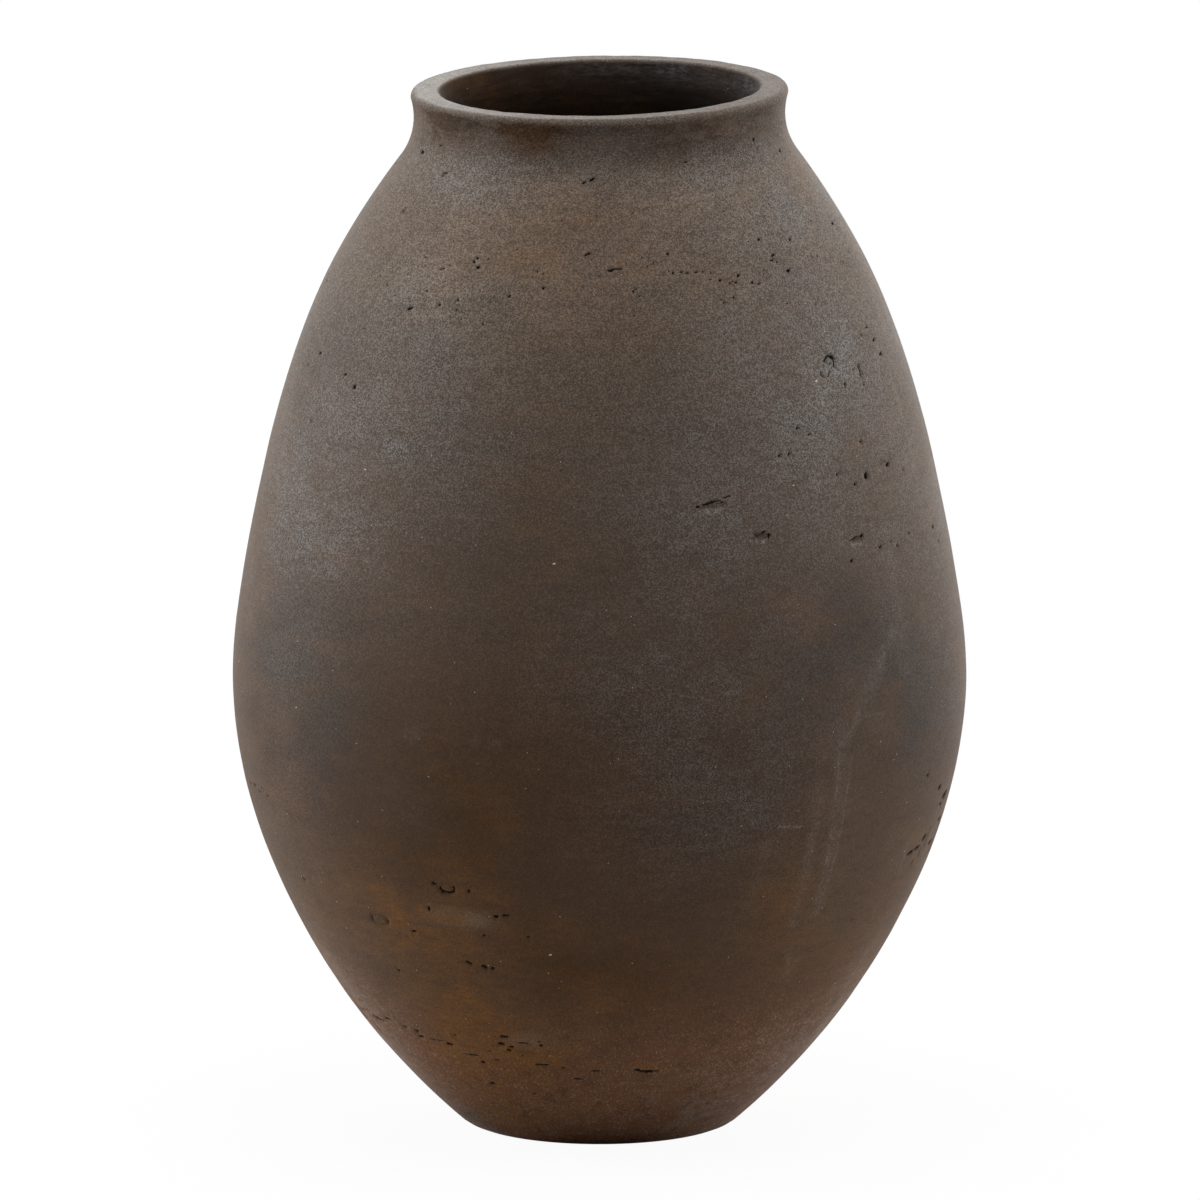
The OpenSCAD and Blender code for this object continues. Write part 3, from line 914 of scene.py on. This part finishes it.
def put_mesh(name, points, masks, seams, poles):
    """A closed mesh on a grid of points. Rows close on themselves as a ring, or end in two poles.
    Strips that start at a row in seams are luted faces, and stay flat."""
    rows, columns = points.shape[:2]
    last = rows - 1 if poles else rows
    low = np.repeat(np.arange(last), columns)
    left = np.tile(np.arange(columns), last)
    high, right = (low + 1) % rows, (left + 1) % columns
    corners = np.stack([low, low, high, high], -1) * columns + np.stack([left, right, right, left], -1)
    run = np.where(np.isin(np.arange(rows), seams), SEAM_RUN, 1.0)
    level = np.concatenate([[0.0], np.cumsum(run)])[: last + 1]
    level = level / level[-1]
    if poles:
        level = POLE_PART + (1 - 2 * POLE_PART) * level
    u = np.stack([left, left + 1, left + 1, left], -1) / columns
    v = level[np.stack([low, low, low + 1, low + 1], -1)]
    loops, flat_uv = corners.ravel(), np.stack([u.ravel(), v.ravel()], -1)
    sizes = np.full(len(corners), 4)
    smooth_faces = ~np.isin(low, seams)
    vertices = points.reshape(-1, 3)
    values = {key: mask.ravel() for key, mask in masks.items()}
    if poles:
        vertices = np.concatenate([vertices, poles])
        values = {key: np.append(mask, [mask[0], mask[-1]]) for key, mask in values.items()}
        here, after = np.arange(columns), (np.arange(columns) + 1) % columns
        top = (rows - 1) * columns
        fans = np.stack([np.full(columns, rows * columns), after, here], -1)
        caps = np.stack([np.full(columns, rows * columns + 1), top + here, top + after], -1)
        loops = np.concatenate([loops, fans.ravel(), caps.ravel()])
        middle, zero, one = (here + 0.5) / columns, here / columns, (here + 1) / columns
        edge, rim = np.full(columns, level[0]), np.full(columns, level[-1])
        fan_uv = np.stack([middle, 0 * edge, one, edge, zero, edge], -1).reshape(-1, 2)
        cap_uv = np.stack([middle, 0 * rim + 1, zero, rim, one, rim], -1).reshape(-1, 2)
        flat_uv = np.concatenate([flat_uv, fan_uv, cap_uv])
        sizes = np.concatenate([sizes, np.full(2 * columns, 3)])
        smooth_faces = np.concatenate([smooth_faces, np.ones(2 * columns, bool)])

    mesh = bpy.data.meshes.new(name)
    mesh.vertices.add(len(vertices))
    mesh.vertices.foreach_set("co", vertices.astype(np.float32).ravel())
    mesh.loops.add(len(loops))
    mesh.loops.foreach_set("vertex_index", loops.astype(np.int32))
    mesh.polygons.add(len(sizes))
    mesh.polygons.foreach_set("loop_start", (np.cumsum(sizes) - sizes).astype(np.int32))
    mesh.polygons.foreach_set("use_smooth", smooth_faces)
    mesh.update(calc_edges=True)
    layer = mesh.uv_layers.new(name=UV_NAME, do_init=False)
    layer.uv.foreach_set("vector", flat_uv.astype(np.float32).ravel())
    for key, mask in values.items():
        attribute = mesh.attributes.new(key, "FLOAT", "POINT")
        attribute.data.foreach_set("value", mask.astype(np.float32))
    if mesh.validate():
        raise RuntimeError(f"the mesh of {name} had faults")
    piece = bpy.data.objects.new(name, mesh)
    bpy.context.scene.collection.objects.link(piece)
    return piece


def build_course(index, section, pits, settings):
    """One course as a closed ring: up its outside, over the luted face or the rim, down its inside and
    back. The floor slab has no lower joint, and closes at two poles on the axis."""
    outline = settings.outline
    outs, ins = section.joints_out, section.joints_in
    outer, inner = outer_pitch(section, (*pits, *RINGS, *FLAKES, *GRAINS)), inner_pitch(section)
    poles = []
    if index == 0:
        up = edged(0, outs[0], outer)[2:]
        down = edged(ins[0], section.end, inner)[:-2]
        poles = [(0, 0, outline.foot_hollow), (0, 0, outline.floor_t)]
        runs = [up, down]
        seams = [len(up) - 1]
    elif index == len(COURSES) - 1:
        runs = [edged(outs[-1], ins[-1], rim_pitch(section), MOST_RIM)]
        seams = [len(runs[0]) - 1]
    else:
        up = edged(outs[index - 1], outs[index], outer, MOST_OUTER)
        down = edged(ins[index], ins[index - 1], inner)
        runs = [up, down]
        seams = [len(up) - 1, len(up) + len(down) - 1]
    skin = Skin(section, settings.hand, np.concatenate(runs))
    shape_wall(skin)
    mark_wall(skin, pits)
    points = placed(skin, outline.height)
    return put_mesh(f"{COURSES[index]}_clay", points, skin.masks, seams, poles)


def math_node(operation, turned_round=False):
    """A method that adds the Math node of an operation on a wire and another value."""

    def method(self, other):
        sockets = [other, self] if turned_round else [self, other]
        return self.shader.node("ShaderNodeMath", {"operation": operation}, sockets)

    return method


class Wire:
    """A shader socket that takes part in Python sums: each operator adds a Math node."""

    def __init__(self, shader, socket):
        self.shader = shader
        self.socket = socket

    def other(self, output):
        """Another output of the same node."""
        return Wire(self.shader, self.socket.node.outputs[output])

    __add__, __radd__ = math_node("ADD"), math_node("ADD", True)
    __sub__, __rsub__ = math_node("SUBTRACT"), math_node("SUBTRACT", True)
    __mul__, __rmul__ = math_node("MULTIPLY"), math_node("MULTIPLY", True)


class Shader:
    """A node tree that is written as expressions."""

    def __init__(self, tree):
        self.tree = tree
        tree.nodes.clear()

    def node(self, kind, settings, sockets, output=0):
        """Adds a node: its settings first, then the values or wires of its sockets, by name or by place."""
        made = self.tree.nodes.new(kind)
        for key, value in settings.items():
            setattr(made, key, value)
        named = sockets.items() if isinstance(sockets, dict) else enumerate(sockets)
        for key, value in named:
            if isinstance(value, Wire):
                self.tree.links.new(value.socket, made.inputs[key])
            elif value is not None:
                made.inputs[key].default_value = value
        return Wire(self, made.outputs[output]) if made.outputs else None

    def attribute(self, name):
        """A value that each point of the piece carries."""
        return self.node("ShaderNodeAttribute", {"attribute_name": name}, {}, "Fac")

    def blend(self, amount, low, high, way="MIX"):
        """A colour between two, or one changed by another."""
        sockets = {0: amount, 6: low, 7: high}
        return self.node("ShaderNodeMix", {"data_type": "RGBA", "blend_type": way}, sockets, 2)

    def range(self, value, low, high, to_low=0.0, to_high=1.0):
        """A value moved from one range to another, smoothly and within its ends."""
        settings = {"interpolation_type": "SMOOTHSTEP"}
        return self.node("ShaderNodeMapRange", settings, [value, low, high, to_low, to_high])


def rgba(values):
    """A colour with full alpha."""
    return (*values, 1.0)


# Noise in the clay: size in millimetres, detail and roughness
SAND, DRIFT, SMOKE, BRUSH = (0.45, 1.0, 0.5), (8.0, 3.0, 0.5), (34.0, 4.0, 0.6), (3.0, 3.0, 0.6)
STROKE, MOTTLE = (0.8, 2.0, 0.6), (5.0, 4.0, 0.65)
# Size of the sand's grains, and spots in the clay: size of a cell, radius, and share of cells with one
GRAIN_SIZE, WHITE_SPOTS, DARK_SPOTS = 0.38, (4.5, 0.24, 0.45), (3.4, 0.42, 0.35)
# Stretches that make noise lie flat or stand upright
FLAT, STEEP = (1, 1, 3), (1, 1, 0.3)


def clay_material(c):
    """Smoked earthenware: the masks on a piece mix the fire's colours and some painted shade and highlight,
    and fine noise gives the sand.
    """
    material = bpy.data.materials.new("smoked_earthenware")
    material.use_nodes = True
    s = Shader(material.node_tree)
    place = s.node("ShaderNodeTexCoord", {}, {}, "Object")
    flat = s.node("ShaderNodeVectorMath", {"operation": "MULTIPLY"}, [place, FLAT])
    steep = s.node("ShaderNodeVectorMath", {"operation": "MULTIPLY"}, [place, STEEP])

    def noise(size, detail, rough, at=place):
        """Noise with lumps of a size in millimetres."""
        sockets = {"Vector": at, "Scale": 1 / (size * MM), "Detail": detail, "Roughness": rough}
        return s.node("ShaderNodeTexNoise", {}, sockets)

    def cells(size):
        """Cells of a size in millimetres: the distance from each one's middle, and its random value."""
        sockets = {"Vector": place, "Scale": 1 / (size * MM)}
        away = s.node("ShaderNodeTexVoronoi", {"feature": "F1"}, sockets, "Distance")
        return away, s.node("ShaderNodeSeparateColor", {}, [away.other("Color")], "Red")

    def spots(size, radius, kept):
        """Round spots of a radius, one in each cell of a size in millimetres, in a share of the cells."""
        away, draw = cells(size)
        spot = 1 - s.range(away, 0.6 * radius / size, radius / size)
        return spot * s.range(draw, 1 - kept, 1.01 - kept)

    def painted(base, *coats):
        """A colour under coats of others, each laid on by its own amount."""
        for amount, paint in coats:
            base = s.blend(amount, base, rgba(paint))
        return base

    pit, pale, ash, soot, tan, rust, scorch_and_shade, high, low, inside, grit = map(s.attribute, MASKS)
    sand, grains = noise(*SAND), cells(GRAIN_SIZE)[1]
    drift, smoke = noise(*DRIFT, flat), noise(*SMOKE, flat)
    brush = s.range(noise(*BRUSH, flat), 0.25, 0.8)
    strokes = s.range(noise(*STROKE, steep), 0.53, 0.66)
    mottle = noise(*MOTTLE, steep)
    broken = s.range(drift, 0.25, 0.75, 0.6, 1.4)
    glint = s.range(grains, 0.3, 0.9)
    glint = glint + inside * (brush - glint)

    tone = painted(
        rgba(c.lower),
        (high, c.upper),
        (low, c.foot),
        # Painted shade: the inside of the mouth, darkened far below the outside clay.
        (inside, c.inner),
        (tan * broken, c.tan),
        (soot * broken, c.soot),
        ((0.05 + scorch_and_shade) * broken, c.scorch_and_shade),
        (rust * broken + 0.15 * s.range(smoke, 0.5, 0.75), c.rust),
        (0.45 * low * s.range(mottle, 0.52, 0.66), c.scorch_and_shade),
        (0.5 * low * s.range(mottle, 0.36, 0.48, 1, 0), c.rust),
    )
    speckle = (0.5 + 0.55 * high * high) * (grains * grains - 0.33)
    spread = 1 + (1 - 0.6 * inside) * speckle + 0.3 * (drift - 0.5) + 0.3 * (smoke - 0.5)
    bloom = (ash + 0.12 * high * s.range(smoke, 0.25, 0.5, 1, 0)) * broken
    grained = painted(
        s.node("ShaderNodeVectorMath", {"operation": "SCALE"}, {"Vector": tone, "Scale": spread}),
        (bloom * glint, c.ash),
        (pale * (0.4 + 0.6 * glint), c.pale),
        ((0.2 + 1.6 * ash) * low * strokes * broken, c.pale),
        (0.9 * spots(*WHITE_SPOTS), c.grit),
        (0.8 * high * spots(*DARK_SPOTS), c.pit),
        # Painted shade in the pits and grooves.
        (s.range(pit + 0.5 * (sand - 0.5), 0.35, 0.6), c.pit),
        (s.range(grit, 0.3, 0.6), c.grit),
    )

    height = sand * 0.6 + drift * 0.4
    normal = s.node("ShaderNodeBump", {}, {"Strength": 0.35, "Distance": 0.35 * MM, "Height": height})
    rough = 0.86 - 0.1 * ash + 0.1 * (sand - 0.5)
    settings = {"Base Color": grained, "Roughness": rough, "Specular IOR Level": 0.15, "Normal": normal}
    settings |= {"Sheen Weight": 0.1, "Sheen Roughness": 0.25}
    clay = s.node("ShaderNodeBsdfPrincipled", {}, settings)
    s.node("ShaderNodeOutputMaterial", {}, {"Surface": clay})
    return material


# Where the floor starts to go white, where it is white, and how white it is near the vase
WHITE_FROM, WHITE_TO, WHITE_NEAR = 0.06, 0.3, 0.95
# The floor's corners, and the camera's sensor and farthest sight
FLOOR_CORNERS, SENSOR_W, CLIP_END = 96, 36.0, 100.0


def floor_material(floor_colour):
    """A pale floor that goes white away from the vase, and keeps the vase's shadow near it."""
    material = bpy.data.materials.new("pale_floor")
    material.use_nodes = True
    s = Shader(material.node_tree)
    place = s.node("ShaderNodeTexCoord", {}, {}, "Object")
    away = s.node("ShaderNodeVectorMath", {"operation": "LENGTH"}, [place], "Value")
    seen = s.node("ShaderNodeLightPath", {}, {}, "Is Camera Ray")
    matt = s.node("ShaderNodeBsdfDiffuse", {}, {"Color": rgba(floor_colour)})
    white = s.node("ShaderNodeEmission", {}, {"Color": rgba((1, 1, 1)), "Strength": 1.0})
    amount = seen * s.range(away, WHITE_FROM, WHITE_TO, WHITE_NEAR, 1.0)
    mixed = s.node("ShaderNodeMixShader", {}, [amount, matt, white])
    s.node("ShaderNodeOutputMaterial", {}, {"Surface": mixed})
    return material


def spot_at(azimuth, elevation, distance):
    """A place at an azimuth and an elevation in degrees, and a distance, from the origin."""
    turn, rise = math.radians(azimuth), math.radians(elevation)
    level = math.cos(rise)
    return distance * Vector((math.sin(turn) * level, -math.cos(turn) * level, math.sin(rise)))


def look(thing, target):
    """Turns a lamp or a camera towards a point."""
    thing.rotation_euler = (target - thing.location).to_track_quat("-Z", "Y").to_euler()


class VASE_OT_clay(bpy.types.Operator):
    """Build the nine luted clay courses and their finish"""

    bl_idname = "vase.clay"
    bl_label = "Clay courses"

    def execute(self, context):
        settings = context.scene.vase
        material = clay_material(settings.colours)
        section = Section(settings.outline)
        pits = (*PITS, *scattered_pits(settings.hand.seed))
        for index, node in enumerate(COURSES):
            piece = build_course(index, section, pits, settings)
            piece.data.materials.append(material)
            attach(piece, "root")
            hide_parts(node)
        return {"FINISHED"}


class VASE_OT_stage(bpy.types.Operator):
    """Set up the floor, the lamps, the white surroundings and the camera"""

    bl_idname = "vase.stage"
    bl_label = "Stage"

    def execute(self, context):
        stage = context.scene.vase.stage
        self.lay_floor(context, stage)
        self.hang_lamps(context, context.scene.vase.outline.height / 2)
        self.light_room(context, stage)
        self.aim_camera(context, stage)
        context.scene.view_settings.view_transform = "Standard"
        return {"FINISHED"}

    def lay_floor(self, context, stage):
        """A flat disc under the vase."""
        turn = np.linspace(0, 2 * math.pi, FLOOR_CORNERS, endpoint=False)
        ring = np.stack([np.cos(turn), np.sin(turn), 0 * turn], -1) * stage.floor_r
        mesh = bpy.data.meshes.new("floor")
        mesh.from_pydata(ring.tolist(), [], [list(range(len(ring)))])
        mesh.materials.append(floor_material(stage.floor_colour))
        floor = bpy.data.objects.new("floor", mesh)
        context.scene.collection.objects.link(floor)

    def hang_lamps(self, context, target_h):
        """Square softboxes that face the vase and stay out of the picture."""
        target = Vector((0, 0, target_h))
        for lamp in LAMPS:
            light = bpy.data.lights.new(lamp.name, "AREA")
            light.size = lamp.size
            light.energy = lamp.level * (math.pi * lamp.distance) ** 2
            thing = bpy.data.objects.new(lamp.name, light)
            thing.location = target + spot_at(lamp.azimuth, lamp.elevation, lamp.distance)
            look(thing, target)
            thing.visible_camera = False
            context.scene.collection.objects.link(thing)

    def light_room(self, context, stage):
        """An even room light, seen as white."""
        world = bpy.data.worlds.new("white_room")
        world.use_nodes = True
        s = Shader(world.node_tree)
        seen = s.node("ShaderNodeLightPath", {}, {}, "Is Camera Ray")
        strength = stage.room_level + seen * (1 - stage.room_level)
        glow = s.node("ShaderNodeBackground", {}, {"Color": rgba((1, 1, 1)), "Strength": strength})
        s.node("ShaderNodeOutputWorld", {}, {"Surface": glow})
        context.scene.world = world

    def aim_camera(self, context, stage):
        """A long lens that looks down a little, with its frame's width set at the vase."""
        camera = bpy.data.cameras.new("camera")
        camera.sensor_width = SENSOR_W
        camera.lens = SENSOR_W * stage.distance / stage.frame_w
        camera.clip_end = CLIP_END
        thing = bpy.data.objects.new("camera", camera)
        target = Vector((stage.aim_x, 0, stage.aim_h))
        thing.location = target + spot_at(0, math.degrees(stage.elevation), stage.distance)
        look(thing, target)
        context.scene.collection.objects.link(thing)
        context.scene.camera = thing


class VaseSettings(bpy.types.PropertyGroup):
    """Everything that a user may change."""

    outline: PointerProperty(name="Outline", description="Sizes of the half section", type=VaseOutline)
    hand: PointerProperty(name="Hand", description="Unevenness of the wall", type=VaseHand)
    colours: PointerProperty(name="Colours", description="Colours of the clay", type=VaseColours)
    stage: PointerProperty(name="Stage", description="Camera, floor and light", type=VaseStage)


class VASE_PT_panel(bpy.types.Panel):
    """Settings of the vase, and the buttons that build it"""

    bl_idname = "VASE_PT_panel"
    bl_label = "Earthenware vase"
    bl_space_type = "VIEW_3D"
    bl_region_type = "UI"
    bl_category = "Vase"

    def draw(self, context):
        settings = context.scene.vase
        for group in (settings.outline, settings.hand, settings.colours, settings.stage):
            box = self.layout.box()
            for key in group.__annotations__:
                box.prop(group, key)
        for operator in (VASE_OT_clay, VASE_OT_stage):
            self.layout.operator(operator.bl_idname)


CLASSES = (
    VaseOutline, VaseHand, VaseColours, VaseStage, VaseSettings, VASE_OT_clay, VASE_OT_stage, VASE_PT_panel,
)


def register():
    """Adds the classes and the scene's settings."""
    for item in CLASSES:
        bpy.utils.register_class(item)
    bpy.types.Scene.vase = PointerProperty(type=VaseSettings)


def unregister():
    """Takes them away again."""
    del bpy.types.Scene.vase
    for item in reversed(CLASSES):
        bpy.utils.unregister_class(item)


def main():
    """Builds the stage and the vase."""
    register()
    bpy.ops.vase.stage()
    bpy.ops.vase.clay()


if __name__ == "__main__":
    main()
